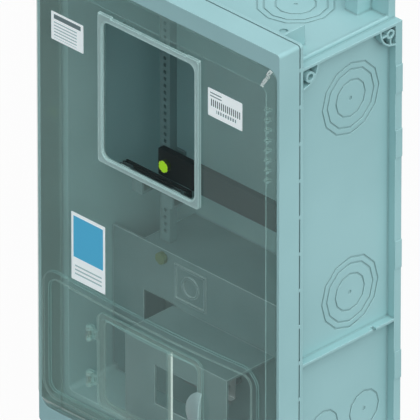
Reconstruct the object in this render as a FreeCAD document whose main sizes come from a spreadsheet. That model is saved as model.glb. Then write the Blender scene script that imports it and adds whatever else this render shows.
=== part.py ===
import FreeCAD, Part
import math
import os
import Sketcher

# Electric meter box: moulded tub, smoked lid with a window and a breaker door,
# adjustable meter support and wiring shroud. X right, Y back to the wall, Z up.
# The origin is the middle of the wall fixings, on the wall plane.

doc = FreeCAD.newDocument("meter_box")
sheet = doc.addObject("Spreadsheet::Sheet", "size")

SIZES = [
    # Whole box
    ("box_width", 342.0), ("box_height", 560.0), ("box_depth", 173.0), ("corner_radius", 4.0),
    # Lid frame
    ("frame_depth", 27.6), ("frame_bar", 19.7), ("frame_edge", 3.8), ("frame_wall", 3.0),
    ("opening_radius", 12.0),
    # Seal and the gap that it fills
    ("seal_gap", 2.0), ("seal_width", 2.0), ("seal_inset", 1.2), ("seat_clearance", 0.2),
    ("pip_count", 13.0), ("pip_pitch", 42.0), ("pip_length", 4.0), ("pip_depth", 0.8),
    # Tub
    ("wall", 3.0), ("side_inset", 10.0), ("end_inset", 25.5), ("flange_thick", 3.5),
    ("back_wall", 3.0), ("back_space", 3.5), ("rear_flange_depth", 9.2), ("rear_flange_drop", 28.0),
    ("cavity_radius", 6.0), ("ledge_drop", 2.5), ("ledge_thick", 3.0), ("bead_radius", 2.0),
    ("bead_sides", 8.0),
    ("side_rib_foot", 189.0), ("side_rib_thick", 3.0), ("rib_notch", 5.0), ("rib_notch_back", 40.0),
    ("back_rib_thick", 2.5), ("back_rib_spacing", 105.0),
    ("edge_tab_length", 32.0), ("edge_tab_rise", 1.0), ("edge_tab_a", 171.0), ("edge_tab_b", 97.0),
    ("edge_tab_c", -31.0), ("edge_tab_d", -159.0),
    # Wall fixings
    ("wall_hole_radius", 2.75), ("wall_boss_radius", 9.0), ("wall_boss_sides", 12.0),
    ("wall_hole_x", 120.0), ("wall_hole_z", 200.0),
    # Couplings to a neighbouring box
    ("coupling_front_radius", 3.6), ("coupling_front_ring", 6.0), ("coupling_front_step", 10.5),
    ("coupling_rear_radius", 3.0), ("coupling_rear_ring", 5.5), ("coupling_rear_step", 7.0),
    ("coupling_wall_radius", 22.0), ("ring_sides", 16.0), ("web_thick", 1.8),
    # Conduit knockouts
    ("knockout_large", 41.0), ("knockout_middle", 34.0), ("knockout_small", 21.7),
    ("knockout_groove", 2.1), ("knockout_depth", 1.0), ("knockout_dimple", 2.5), ("knockout_sides", 12.0),
    ("knockout_back", 63.0), ("knockout_high_drop", 96.0), ("knockout_low_foot", 241.0),
    ("knockout_end_x", 76.0), ("knockout_end_back", 55.0), ("knockout_pair_foot", 97.0),
    ("knockout_pair_front", 100.0), ("knockout_pair_rear", 42.0),
    # Gussets, blocks and screw recess on the top and bottom plates
    ("fin_x", 137.9), ("fin_thick", 2.5), ("fin_length", 33.4), ("fin_height", 22.5),
    ("block_x", 118.5), ("block_width", 17.8), ("block_length", 19.0), ("block_height", 24.5),
    ("recess_x", 106.0), ("recess_back", 102.0), ("recess_radius", 4.7), ("recess_depth", 1.8),
    ("recess_sides", 12.0),
    # Smoked cover
    ("cover_rise", 10.0), ("cover_wall", 2.5), ("cover_clearance", 0.4), ("cover_tail", 0.6),
    ("bevel_side", 5.0), ("bevel_end", 16.0), ("cover_face_radius", 9.0), ("cover_lip", 10.0),
    ("cover_lip_thick", 2.5), ("cover_lip_length", 300.0), ("lip_clearance", 0.3),
    ("bevel_rib_count", 8.0), ("bevel_rib_drop", 65.0), ("bevel_rib_pitch", 11.5), ("bevel_rib_side", 6.5),
    ("bevel_rib_thick", 2.4),
    # Raised rim of the lower panel
    ("panel_width", 305.0), ("panel_height", 149.0), ("panel_foot", 118.5), ("panel_radius", 20.0),
    ("panel_band", 9.4), ("panel_rise", 3.0), ("panel_sag", 4.0),
    # Meter window
    ("window_width", 142.0), ("window_height", 168.5), ("window_drop", 126.8), ("window_rise", 4.0),
    ("window_border", 6.5), ("window_radius", 8.0), ("window_corner", 3.0), ("window_step", 1.6),
    ("window_step_depth", 1.2),
    ("leg_border", 4.5), ("leg_clearance", 0.3), ("lens_thick", 2.0), ("lens_seat", 1.0),
    ("lug_length", 18.0), ("lug_rise", 1.2), ("hook_length", 12.0), ("hook_reach", 3.0),
    ("hook_thick", 2.0), ("hook_x", 36.0),
    # Breaker door
    ("door_width", 149.0), ("door_height", 112.0), ("door_foot", 117.0), ("door_radius", 10.0),
    ("door_thick", 2.5), ("door_rim", 6.0), ("door_bulge", 3.5), ("door_gap", 0.3), ("door_lap", 8.0),
    ("door_rib_x", 26.0), ("door_rib_thick", 1.6), ("door_rib_depth", 7.6), ("door_rib_gap", 1.0),
    ("pull_radius", 25.0), ("pull_rise", 5.0), ("pull_drop", 4.0),
    ("hinge_reach", 9.5), ("hinge_spacing", 53.0), ("knuckle_radius", 3.5), ("knuckle_length", 10.0),
    ("knuckle_stand", 4.2), ("hinge_gap", 0.4), ("ear_length", 2.5), ("pin_radius", 1.5),
    ("pin_clearance", 0.05), ("strap_slot", 5.0),
    # Wiring shroud
    ("shelf_foot", 196.0), ("shroud_wall", 2.5), ("shroud_front", 80.0), ("shroud_clearance", 0.3),
    ("notch_width", 42.0), ("cutout_width", 44.0), ("cutout_height", 38.0), ("cutout_x", -92.0),
    ("cutout_foot", 119.0), ("port_x", -47.0), ("port_foot", 166.5), ("port_width", 44.0),
    ("port_height", 41.0), ("port_band", 2.5), ("port_rise", 1.5), ("port_ring", 12.2),
    ("screw_x", 86.0), ("screw_drop", 9.0), ("screw_head", 6.6), ("screw_head_thick", 5.0),
    ("screw_shank", 2.5), ("screw_length", 22.0), ("screw_clearance", 0.05), ("screw_gap", 0.3),
    ("post_radius", 6.0), ("post_sides", 8.0), ("head_sides", 18.0), ("grip_slots", 6.0),
    ("grip_radius", 0.9), ("grip_sides", 6.0),
    # Breaker mask and its rail
    ("mask_front", 148.0), ("mask_width", 144.0), ("mask_foot", 136.0), ("mask_thick", 2.5),
    ("breaker_width", 60.0), ("breaker_height", 45.0), ("breaker_foot", 90.0),
    ("rail_front", 103.0), ("rail_height", 35.0), ("rail_depth", 7.5), ("rail_thick", 1.0),
    ("rail_web", 27.0), ("rail_length", 66.0), ("spacer_radius", 5.0), ("spacer_x", 22.0),
    ("rail_screw_head", 4.0), ("rail_screw_shank", 2.0), ("spacer_sides", 6.0),
    # Meter support
    ("post_rail_x", 96.5), ("post_rail_width", 14.0), ("post_rail_depth", 10.0), ("post_rail_front", 67.0),
    ("post_rail_wall", 2.0), ("hole_side", 4.0), ("hole_pitch", 8.0), ("hole_margin", 12.0),
    ("crossbar_half", 98.0), ("crossbar_height", 30.0), ("crossbar_z", 12.0), ("crossbar_depth", 7.7),
    ("crossbar_wall", 3.0), ("slide_clearance", 0.3), ("knob_x", 85.8),
    ("clamp_thick", 3.0), ("clamp_length", 24.0), ("clamp_height", 20.0),
    ("arm_width", 14.0), ("arm_thick", 3.0), ("arm_front", 113.0), ("arm_left_x", -90.0),
    ("arm_right_x", -47.0),
    ("tray_length", 90.5), ("tray_depth", 14.0), ("tray_height", 8.0), ("tray_lift", 11.0),
    ("tray_x", -71.2), ("tray_wall", 2.5), ("tray_rib", 1.2), ("tray_rib_width", 2.0),
    # Heights that follow the top or the foot of the box
    ("panel_z", "=panel_foot - box_height/2"), ("door_z", "=door_foot - box_height/2"),
    ("shelf_z", "=shelf_foot - box_height/2"), ("cutout_z", "=cutout_foot - box_height/2"),
    ("port_z", "=port_foot - box_height/2"), ("mask_top", "=mask_foot - box_height/2"),
    ("breaker_z", "=breaker_foot - box_height/2"), ("knockout_low", "=knockout_low_foot - box_height/2"),
    ("knockout_pair_z", "=knockout_pair_foot - box_height/2"),
    ("side_rib_height", "=side_rib_foot - box_height/2"),
    ("knockout_high", "=box_height/2 - knockout_high_drop"), ("window_z", "=box_height/2 - window_drop"),
]

for row, (alias, value) in enumerate(SIZES, start=1):
    sheet.set("A%d" % row, alias)
    sheet.set("B%d" % row, str(value))
    sheet.setAlias("B%d" % row, alias)
doc.recompute()


def mm(alias):
    """Value of one size, for counts and edge choices."""
    return float(sheet.get(alias))


def bound(expression):
    """Expression text with every size looked up in the sheet."""
    text = " %s " % expression
    for mark in "()*/+-^,":
        text = text.replace(mark, " %s " % mark)
    words = text.split()
    known = {alias for alias, value in SIZES}
    joined = " ".join("size." + word if word in known else word for word in words)
    return joined.replace("sqrt (", "sqrt(")


def place(obj, x, y, z):
    """Bind an object's place to three expressions."""
    obj.setExpression("Placement.Base.x", bound(x))
    obj.setExpression("Placement.Base.y", bound(y))
    obj.setExpression("Placement.Base.z", bound(z))
    return obj


def box(name, width, depth, height, x, y, z):
    """Block with its lowest corner at x, y, z."""
    obj = doc.addObject("Part::Box", name)
    obj.setExpression("Length", bound(width))
    obj.setExpression("Width", bound(depth))
    obj.setExpression("Height", bound(height))
    return place(obj, x, y, z)


def mid_box(name, width, depth, height, x, y, z):
    """Block centred on x and z, with its front face at y."""
    return box(name, width, depth, height, "%s - (%s)/2" % (x, width), y, "%s - (%s)/2" % (z, height))


TURNS = {
    "X": FreeCAD.Rotation(FreeCAD.Vector(0, 1, 0), 90),
    "Y": FreeCAD.Rotation(FreeCAD.Vector(1, 0, 0), -90),
    "Z": FreeCAD.Rotation(),
}


def rod(name, radius, length, x, y, z, axis):
    """Cylinder that starts at x, y, z and runs along a row axis."""
    obj = doc.addObject("Part::Cylinder", name)
    obj.Placement = FreeCAD.Placement(FreeCAD.Vector(), TURNS[axis])
    obj.setExpression("Radius", bound(radius))
    obj.setExpression("Height", bound(length))
    return place(obj, x, y, z)


def prism(name, sides, radius, length, x, y, z, axis):
    """Many-sided bar that starts at x, y, z and runs along a row axis."""
    obj = doc.addObject("Part::Prism", name)
    obj.Placement = FreeCAD.Placement(FreeCAD.Vector(), TURNS[axis])
    obj.setExpression("Polygon", bound(sides))
    obj.setExpression("Circumradius", bound(radius))
    obj.setExpression("Height", bound(length))
    return place(obj, x, y, z)


def common(name, base, tool):
    obj = doc.addObject("Part::Common", name)
    obj.Base = base
    obj.Tool = tool
    return obj


def fuse(name, pieces):
    obj = doc.addObject("Part::MultiFuse", name)
    obj.Shapes = pieces
    obj.Refine = True
    return obj


def cut(name, base, tools):
    obj = doc.addObject("Part::Cut", name)
    obj.Base = base
    obj.Tool = tools[0] if len(tools) == 1 else fuse(name + "_tools", tools)
    obj.Refine = True
    return obj


FACING_FRONT = FreeCAD.Rotation(FreeCAD.Vector(1, 0, 0), 90)


def rounded_sketch(name, width, height, radius, x, y, z, turn=FACING_FRONT):
    """Rectangle with four equal corner arcs, centred on x, y, z."""
    sketch = doc.addObject("Sketcher::SketchObject", name)
    sketch.Placement = FreeCAD.Placement(FreeCAD.Vector(), turn)
    place(sketch, x, y, z)
    half_w = 40.0
    half_h = 30.0
    r = 5.0
    corner = [(half_w - r, half_h - r), (-half_w + r, half_h - r),
              (-half_w + r, -half_h + r), (half_w - r, -half_h + r)]
    quarter = math.pi / 2
    for index, (cx, cy) in enumerate(corner):
        circle = Part.Circle(FreeCAD.Vector(cx, cy, 0), FreeCAD.Vector(0, 0, 1), r)
        sketch.addGeometry(Part.ArcOfCircle(circle, index * quarter, (index + 1) * quarter))
    for index in range(4):
        start = sketch.Geometry[index].EndPoint
        end = sketch.Geometry[(index + 1) % 4].StartPoint
        sketch.addGeometry(Part.LineSegment(start, end))
    for index in range(4):
        sketch.addConstraint(Sketcher.Constraint("Tangent", index, 2, 4 + index, 1))
        sketch.addConstraint(Sketcher.Constraint("Tangent", 4 + index, 2, (index + 1) % 4, 1))
    for index, kind in enumerate(("Horizontal", "Vertical", "Horizontal", "Vertical")):
        sketch.addConstraint(Sketcher.Constraint(kind, 4 + index))
    for index in range(1, 4):
        sketch.addConstraint(Sketcher.Constraint("Equal", 0, index))
    sketch.addConstraint(Sketcher.Constraint("Symmetric", 0, 3, 2, 3, -1, 1))
    sizes = [("DistanceX", (1, 3, 0, 3, 2 * (half_w - r)), "(%s) - 2*(%s)" % (width, radius)),
             ("DistanceY", (3, 3, 0, 3, 2 * (half_h - r)), "(%s) - 2*(%s)" % (height, radius)),
             ("Radius", (0, r), radius)]
    for kind, values, expression in sizes:
        number = sketch.addConstraint(Sketcher.Constraint(kind, *values))
        sketch.setExpression("Constraints[%d]" % number, bound(expression))
    return sketch


def extrude(name, sketch, length):
    obj = doc.addObject("Part::Extrusion", name)
    obj.Base = sketch
    obj.DirMode = "Normal"
    obj.Solid = True
    obj.FaceMakerClass = "Part::FaceMakerBullseye"
    obj.setExpression("LengthFwd", bound(length))
    return obj


def slab(name, width, height, radius, depth, x, y, z):
    """Rounded plate seen from the front: its back face is at y and it grows forwards."""
    return extrude(name, rounded_sketch(name + "_outline", width, height, radius, x, y, z), depth)


def loft(name, sections):
    obj = doc.addObject("Part::Loft", name)
    obj.Sections = sections
    obj.Solid = True
    obj.Ruled = True
    return obj


def label(obj, node):
    obj.Label = node
    NODES.append(obj)


NODES = []
SIDES = (("left", "-1"), ("right", "1"))
ENDS = (("top", "1"), ("bottom", "-1"))

# Planes and half sizes that several pieces share
HALF_W = "box_width/2"
HALF_H = "box_height/2"
FRONT_Y = "(0 - box_depth)"
FRAME_BACK_Y = "(frame_depth - box_depth)"
FLANGE_Y = "(frame_depth + seal_gap - box_depth)"
TUB_Y = "(frame_depth + seal_gap + flange_thick - box_depth)"
COVER_Y = "(0 - box_depth - cover_rise)"
TUB_W = "(box_width/2 - side_inset)"
TUB_H = "(box_height/2 - end_inset)"
CAVITY_W = "(box_width/2 - side_inset - wall)"
CAVITY_H = "(box_height/2 - end_inset - wall)"
BACK_Y = "(0 - back_space - back_wall)"
LEDGE_Z = "(box_height/2 - end_inset - ledge_drop)"


def signed_box(name, sign, width, depth, height, x, y, z):
    """Block that starts at x and grows outwards on the side given by sign."""
    start = "%s*(%s)" % (sign, x) if sign == "1" else "0 - (%s) - (%s)" % (x, width)
    return box(name, width, depth, height, start, y, z)


def knockout(name, rings, x, y, z, axis):
    """Groove cutters round a centre dimple, for the wall that starts at x, y, z along the axis."""
    tools = [prism(name + "_dimple", "knockout_sides/2", "knockout_dimple", "knockout_depth", x, y, z,
                   axis)]
    for ring in rings:
        outer = prism("%s_%s_outer" % (name, ring), "knockout_sides", ring, "knockout_depth", x, y, z, axis)
        inner = prism("%s_%s_inner" % (name, ring), "knockout_sides", "%s - knockout_groove" % ring,
                      "knockout_depth", x, y, z, axis)
        tools.append(cut("%s_%s" % (name, ring), outer, [inner]))
    return tools


COUPLINGS = (("front", TUB_Y, "1"), ("rear", "(0 - rear_flange_depth)", "-1"))
CORNER_Z = "(%s - ledge_thick)" % LEDGE_Z


def coupling_centre(spot, corner_y, way, end_sign):
    """Screw axis of one boss: the same step from its flange and from its ledge."""
    step = "coupling_%s_step" % spot
    return "%s + %s*%s" % (corner_y, way, step), "%s*(%s - %s)" % (end_sign, CORNER_Z, step)


def span(start, way, length):
    """Lower end of a length that runs from start in the way given by a sign."""
    return start if way == "1" else "%s - (%s)" % (start, length)


def coupling(tag, sign, end, end_sign):
    """Bosses in one side's corners: a quarter-round wall, a screw ring and two webs between them."""
    x = TUB_W if sign == "1" else "0 - (%s)" % HALF_W
    inward = "-1" if end_sign == "1" else "1"
    corner_z = "%s*%s" % (end_sign, CORNER_Z)
    solids = []
    for spot, corner_y, way in COUPLINGS:
        name = "coupling_%s_%s_%s" % (spot, tag, end)
        tube = cut(name + "_tube",
                   rod(name + "_outer", "coupling_wall_radius", "side_inset", x, corner_y, corner_z, "X"),
                   [rod(name + "_inner", "coupling_wall_radius - web_thick", "side_inset", x, corner_y,
                        corner_z, "X")])
        quarter = box(name + "_quarter", "side_inset", "coupling_wall_radius", "coupling_wall_radius", x,
                      span(corner_y, way, "coupling_wall_radius"), span(corner_z, inward,
                                                                        "coupling_wall_radius"))
        solids.append(common(name + "_wall", tube, quarter))
        centre_y, centre_z = coupling_centre(spot, corner_y, way, end_sign)
        solids.append(prism(name + "_ring", "ring_sides", "coupling_%s_ring" % spot, "side_inset", x,
                            centre_y, centre_z, "X"))
        step = "coupling_%s_step" % spot
        reach = "(sqrt(coupling_wall_radius^2 - %s^2) - %s - web_thick/2)" % (step, step)
        solids.append(box(name + "_level_web", "side_inset", reach, "web_thick", x,
                          span(centre_y, way, reach), "%s - web_thick/2" % centre_z))
        solids.append(box(name + "_upright_web", "side_inset", "web_thick", reach, x,
                          "%s - web_thick/2" % centre_y, span(centre_z, inward, reach)))
    return solids


def coupling_bores(tag, sign, end, end_sign):
    """Screw holes through those bosses, as far as the closed wall of the tub."""
    x = TUB_W if sign == "1" else "0 - (%s)" % HALF_W
    bores = []
    for spot, corner_y, way in COUPLINGS:
        centre_y, centre_z = coupling_centre(spot, corner_y, way, end_sign)
        bores.append(rod("bore_%s_%s_%s" % (spot, tag, end), "coupling_%s_radius" % spot, "side_inset",
                         x, centre_y, centre_z, "X"))
    return bores


def base_box():
    """Tub moulded in one: flanges, ledges, ribs, bosses, posts and knockout grooves."""
    solids = [
        slab("front_flange", "box_width", "box_height", "corner_radius", "flange_thick", "0", TUB_Y, "0"),
        mid_box("tub_block", "2*%s" % TUB_W, "0 - %s" % TUB_Y, "2*%s" % TUB_H,
                "0", TUB_Y, "0"),
        mid_box("rear_wide", "box_width", "rear_flange_depth", "box_height - 2*rear_flange_drop",
                "0", "0 - rear_flange_depth", "0"),
        mid_box("rear_tall", "2*%s" % TUB_W, "rear_flange_depth", "box_height", "0",
                "0 - rear_flange_depth", "0"),
    ]
    side_run = "0 - %s - rear_flange_depth" % TUB_Y
    for tag, sign in SIDES:
        for end, end_sign in ENDS:
            low = "%s - ledge_thick" % LEDGE_Z if end_sign == "1" else "0 - (%s)" % LEDGE_Z
            solids.append(signed_box("ledge_%s_%s" % (tag, end), sign, "side_inset", side_run,
                                     "ledge_thick",
                                     TUB_W, TUB_Y, low))
            solids.append(prism("bead_%s_%s" % (tag, end), "bead_sides", "bead_radius", side_run,
                              "%s*(%s - bead_radius)" % (sign, TUB_W), TUB_Y,
                              "%s*%s" % (end_sign, TUB_H), "Y"))
            solids += coupling(tag, sign, end, end_sign)
        rib = signed_box("side_rib_%s" % tag, sign, "side_inset", side_run, "side_rib_thick",
                         TUB_W, TUB_Y, "side_rib_height")
        notch = signed_box("side_rib_notch_%s" % tag, sign, "rib_notch", "rib_notch", "side_rib_thick",
                           "%s - rib_notch" % HALF_W, "0 - rib_notch_back", "side_rib_height")
        solids.append(cut("side_rib_notched_%s" % tag, rib, [notch]))
        for spot in "abcd":
            solids.append(signed_box("edge_tab_%s_%s" % (tag, spot), sign, "edge_tab_rise",
                                     "rear_flange_depth",
                                     "edge_tab_length", HALF_W, "0 - rear_flange_depth",
                                     "edge_tab_%s" % spot))
        for number in range(int(mm("pip_count"))):
            solids.append(signed_box("pip_%s_%d" % (tag, number), sign, "pip_depth",
                                     "seal_gap - seat_clearance",
                                     "pip_length", "%s - pip_depth" % HALF_W,
                                     "%s + seat_clearance" % FRAME_BACK_Y,
                                     "(%d - (pip_count - 1)/2)*pip_pitch - pip_length/2" % number))
    for tag, sign in SIDES:
        for end, end_sign in ENDS:
            low = TUB_H if end_sign == "1" else "0 - %s - block_height" % TUB_H
            solids.append(signed_box("rear_block_%s_%s" % (tag, end), sign, "block_width", "block_length",
                                     "block_height", "block_x", "0 - rear_flange_depth - block_length",
                                     low))
            low = TUB_H if end_sign == "1" else "0 - %s - fin_height" % TUB_H
            solids.append(signed_box("fin_%s_%s" % (tag, end), sign, "fin_thick", "fin_length",
                                     "fin_height",
                                     "fin_x", TUB_Y, low))
    outer = fuse("base_outer", solids)
    hollow = [
        slab("cavity", "2*%s" % CAVITY_W, "2*%s" % CAVITY_H, "cavity_radius",
             "0 - %s - back_space - back_wall + flange_thick" % TUB_Y, "0", BACK_Y, "0"),
        mid_box("back_pocket", "2*%s" % CAVITY_W, "back_space", "2*%s" % CAVITY_H, "0",
                "0 - back_space", "0"),
    ]
    for tag, sign in SIDES:
        hollow.append(signed_box("rim_pocket_%s" % tag, sign, "side_inset - wall",
                                 "rear_flange_depth - wall",
                                 "box_height - 2*rear_flange_drop - 2*wall", TUB_W,
                                 "wall - rear_flange_depth",
                                 "rear_flange_drop + wall - %s" % HALF_H))
    shell = cut("base_shell", outer, hollow)
    inside = []
    for tag, sign in SIDES:
        inside.append(prism("shroud_post_%s" % tag, "post_sides", "post_radius",
                          "shroud_front - shroud_wall - shroud_clearance - back_space - back_wall",
                          "%s*screw_x" % sign, BACK_Y, "shelf_z - screw_drop", "Y"))
        inside[-1].Placement.Rotation = FreeCAD.Rotation(FreeCAD.Vector(1, 0, 0), 90)
        inside.append(mid_box("back_rib_upright_%s" % tag, "back_rib_thick", "back_space",
                              "2*%s" % CAVITY_H,
                              "%s*back_rib_spacing/2" % sign, "0 - back_space", "0"))
        inside.append(mid_box("back_rib_level_%s" % tag, "2*%s" % CAVITY_W, "back_space", "back_rib_thick",
                              "0", "0 - back_space", "%s*back_rib_spacing" % sign))
        for end, end_sign in ENDS:
            inside.append(prism("wall_boss_%s_%s" % (tag, end), "wall_boss_sides", "wall_boss_radius",
                                "back_space",
                              "%s*wall_hole_x" % sign, "0 - back_space", "%s*wall_hole_z" % end_sign, "Y"))
    body = fuse("base_body", [shell] + inside)
    holes = []
    full = ("knockout_large", "knockout_middle", "knockout_small")
    single = ("knockout_small",)
    for tag, sign in SIDES:
        wall_x = "%s - knockout_depth" % TUB_W if sign == "1" else "0 - %s" % TUB_W
        for spot, rings, back, z in (("high", full, "knockout_back", "knockout_high"),
                                     ("low", full, "knockout_back", "knockout_low"),
                                     ("fore", single, "knockout_pair_front", "knockout_pair_z"),
                                     ("aft", single, "knockout_pair_rear", "knockout_pair_z")):
            holes += knockout("knockout_%s_%s" % (tag, spot), rings, wall_x, "0 - %s" % back, z, "X")
        holes.append(rod("shroud_thread_%s" % tag, "screw_shank + screw_clearance", "screw_length",
                         "%s*screw_x" % sign, "0 - shroud_front", "shelf_z - screw_drop", "Y"))
        for end, end_sign in ENDS:
            holes += coupling_bores(tag, sign, end, end_sign)
            plate_z = "%s - knockout_depth" % TUB_H if end_sign == "1" else "0 - %s" % TUB_H
            holes += knockout("knockout_%s_%s" % (end, tag), full, "%s*knockout_end_x" % sign,
                              "0 - knockout_end_back", plate_z, "Z")
            recess_z = "%s - recess_depth" % TUB_H if end_sign == "1" else "0 - %s" % TUB_H
            holes.append(prism("recess_%s_%s" % (tag, end), "recess_sides", "recess_radius", "recess_depth",
                               "%s*recess_x" % sign, "0 - recess_back", recess_z, "Z"))
            holes.append(rod("wall_hole_%s_%s" % (tag, end), "wall_hole_radius", "back_space + back_wall",
                             "%s*wall_hole_x" % sign, BACK_Y, "%s*wall_hole_z" % end_sign, "Y"))
    label(cut("base_cut", body, holes), "base_box")


def front_frame():
    """Ring with a deep outer wall and a front lip, hollow from behind."""
    outer = slab("frame_block", "box_width", "box_height", "corner_radius", "frame_depth", "0",
                 FRAME_BACK_Y, "0")
    hollow = slab("frame_hollow", "box_width - 2*frame_wall", "box_height - 2*frame_wall",
                  "corner_radius - frame_wall", "frame_depth - frame_wall", "0", FRAME_BACK_Y, "0")
    opening = slab("frame_opening", "box_width - 2*frame_edge", "box_height - 2*frame_bar",
                   "opening_radius",
                   "frame_depth", "0", FRAME_BACK_Y, "0")
    label(cut("frame_ring", outer, [hollow, opening]), "front_frame")


def lid_seal():
    outer = slab("seal_outer", "box_width - 2*seal_inset", "box_height - 2*seal_inset",
                 "corner_radius - seal_inset",
                 "seal_gap - seat_clearance", "0", "%s - seat_clearance" % FLANGE_Y, "0")
    inner = slab("seal_inner", "box_width - 2*seal_inset - 2*seal_width",
                 "box_height - 2*seal_inset - 2*seal_width",
                 "corner_radius - seal_inset - seal_width", "seal_gap", "0", FLANGE_Y, "0")
    label(cut("seal_ring", outer, [inner]), "lid_seal")


COVER_W = "(box_width - 2*frame_edge - 2*cover_clearance)"
COVER_H = "(box_height - 2*frame_bar - 2*cover_clearance)"
COVER_TAIL_Y = "(frame_depth - cover_tail - box_depth)"
HINGE_X = "(0 - door_width/2 - hinge_reach)"
HINGE_Y = "(0 - box_depth - cover_rise - knuckle_stand)"
DOOR_BACK_Y = "(0 - box_depth - cover_rise - door_gap)"


def dished_slab(name, inset, depth, y):
    """Lower panel outline, drawn in by inset, whose upper edge sags to the middle."""
    plate = slab(name + "_plate", "panel_width - 2*%s" % inset, "panel_height - 2*%s" % inset,
                 "panel_radius - %s" % inset, depth, "0", y, "panel_z")
    chord = "(panel_width/2 - panel_radius)"
    radius = "((%s*%s + panel_sag*panel_sag)/(2*panel_sag))" % (chord, chord)
    roll = rod(name + "_roll", radius, depth, "0", "%s - (%s)" % (y, depth),
               "panel_z + panel_height/2 - %s - panel_sag + %s" % (inset, radius), "Y")
    return cut(name, plate, [roll])


def main_cover():
    """Smoked tray: skirt in the frame, bevelled rise, window and door openings, rim and hinge ears."""
    skirt = slab("cover_skirt", COVER_W, COVER_H, "opening_radius - cover_clearance",
                 "frame_depth - cover_tail",
                 "0", COVER_TAIL_Y, "0")
    face_w = "%s - 2*bevel_side" % COVER_W
    face_h = "%s - 2*bevel_end" % COVER_H
    rise = loft("cover_bevel", [
        rounded_sketch("bevel_foot", COVER_W, COVER_H, "opening_radius - cover_clearance", "0", FRONT_Y,
                       "0"),
        rounded_sketch("bevel_head", face_w, face_h, "cover_face_radius", "0", COVER_Y, "0")])
    lips = []
    for end, end_sign in ENDS:
        low = "%s/2 - cover_wall" % COVER_H if end_sign == "1" else "0 - %s/2 - cover_lip" % COVER_H
        lips.append(box("cover_lip_%s" % end, "cover_lip_length", "cover_lip_thick",
                        "cover_lip + cover_wall",
                        "0 - cover_lip_length/2", "%s + frame_wall + lip_clearance" % FRONT_Y, low))
    rim = cut("panel_rim", dished_slab("panel_outer", "0*panel_band", "panel_rise + cover_wall",
                                       "%s + cover_wall" % COVER_Y),
              [dished_slab("panel_inner", "panel_band", "panel_rise + 2*cover_wall",
                           "%s + 2*cover_wall" % COVER_Y)])
    ears = []
    for number, z in enumerate(hinge_heights()):
        for spot, start in (("upper", "%s + knuckle_length/2 + hinge_gap" % z),
                            ("lower", "%s - knuckle_length/2 - hinge_gap - ear_length" % z)):
            name = "ear_%s_%d" % (spot, number)
            ears.append(rod(name, "knuckle_radius", "ear_length", HINGE_X, HINGE_Y, start, "Z"))
            ears.append(box(name + "_foot", "2*knuckle_radius", "knuckle_stand + cover_wall/2",
                            "ear_length",
                            "%s - knuckle_radius" % HINGE_X, HINGE_Y, start))
    outer = fuse("cover_outer", [skirt, rise] + lips)
    inner_w = "%s - 2*cover_wall" % COVER_W
    inner_h = "%s - 2*cover_wall" % COVER_H
    inner_radius = "opening_radius - cover_clearance - cover_wall"
    hollow = [
        slab("cover_hollow", inner_w, inner_h, inner_radius, "frame_depth - cover_tail - cover_wall/2",
             "0", COVER_TAIL_Y, "0"),
        loft("cover_hollow_bevel", [
            rounded_sketch("hollow_foot", inner_w, inner_h, inner_radius, "0",
                           "%s + cover_wall/2" % FRONT_Y, "0"),
            rounded_sketch("hollow_head", "%s - 2*cover_wall" % face_w, "%s - 2*cover_wall" % face_h,
                           "cover_face_radius - cover_wall", "0", "%s + cover_wall" % COVER_Y, "0")])]
    ribs = [box("bevel_rib_%d" % number, "bevel_rib_side", "bevel_rib_side", "bevel_rib_thick",
                "%s/2 - cover_wall/2 - bevel_rib_side - bevel_side/2" % COVER_W,
                "%s + cover_wall/2" % COVER_Y,
                "%s - bevel_rib_drop - %d*bevel_rib_pitch" % (HALF_H, number))
            for number in range(int(mm("bevel_rib_count")))]
    shell = fuse("cover_shell", [cut("cover_tray", outer, hollow), rim] + ears + ribs)
    cuts = [
        slab("window_hole", "window_width - 2*leg_border + 2*leg_clearance",
             "window_height - 2*leg_border + 2*leg_clearance", "window_radius", "3*cover_wall",
             "0", "%s + 2*cover_wall" % COVER_Y, "window_z"),
        slab("door_hole", "door_width - 2*door_lap", "door_height - 2*door_lap", "door_radius",
             "3*cover_wall",
             "0", "%s + 2*cover_wall" % COVER_Y, "door_z")]
    for number, z in enumerate(hinge_heights()):
        cuts.append(rod("ear_bore_%d" % number, "pin_radius",
                        "knuckle_length + 2*hinge_gap + 2*ear_length", HINGE_X, HINGE_Y,
                        "%s - knuckle_length/2 - hinge_gap - ear_length" % z, "Z"))
    label(cut("cover_cut", shell, cuts), "main_cover")


def hinge_heights():
    return ["(door_z + %s*hinge_spacing/2)" % sign for tag, sign in SIDES]


def door_hinge_pins():
    pins = [rod("hinge_pin_%d" % number, "pin_radius", "knuckle_length + 2*hinge_gap + 2*ear_length",
                HINGE_X, HINGE_Y, "%s - knuckle_length/2 - hinge_gap - ear_length" % z, "Z")
            for number, z in enumerate(hinge_heights())]
    group = doc.addObject("Part::Compound", "hinge_pins")
    group.Links = pins
    label(group, "door_hinge_pins")


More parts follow.
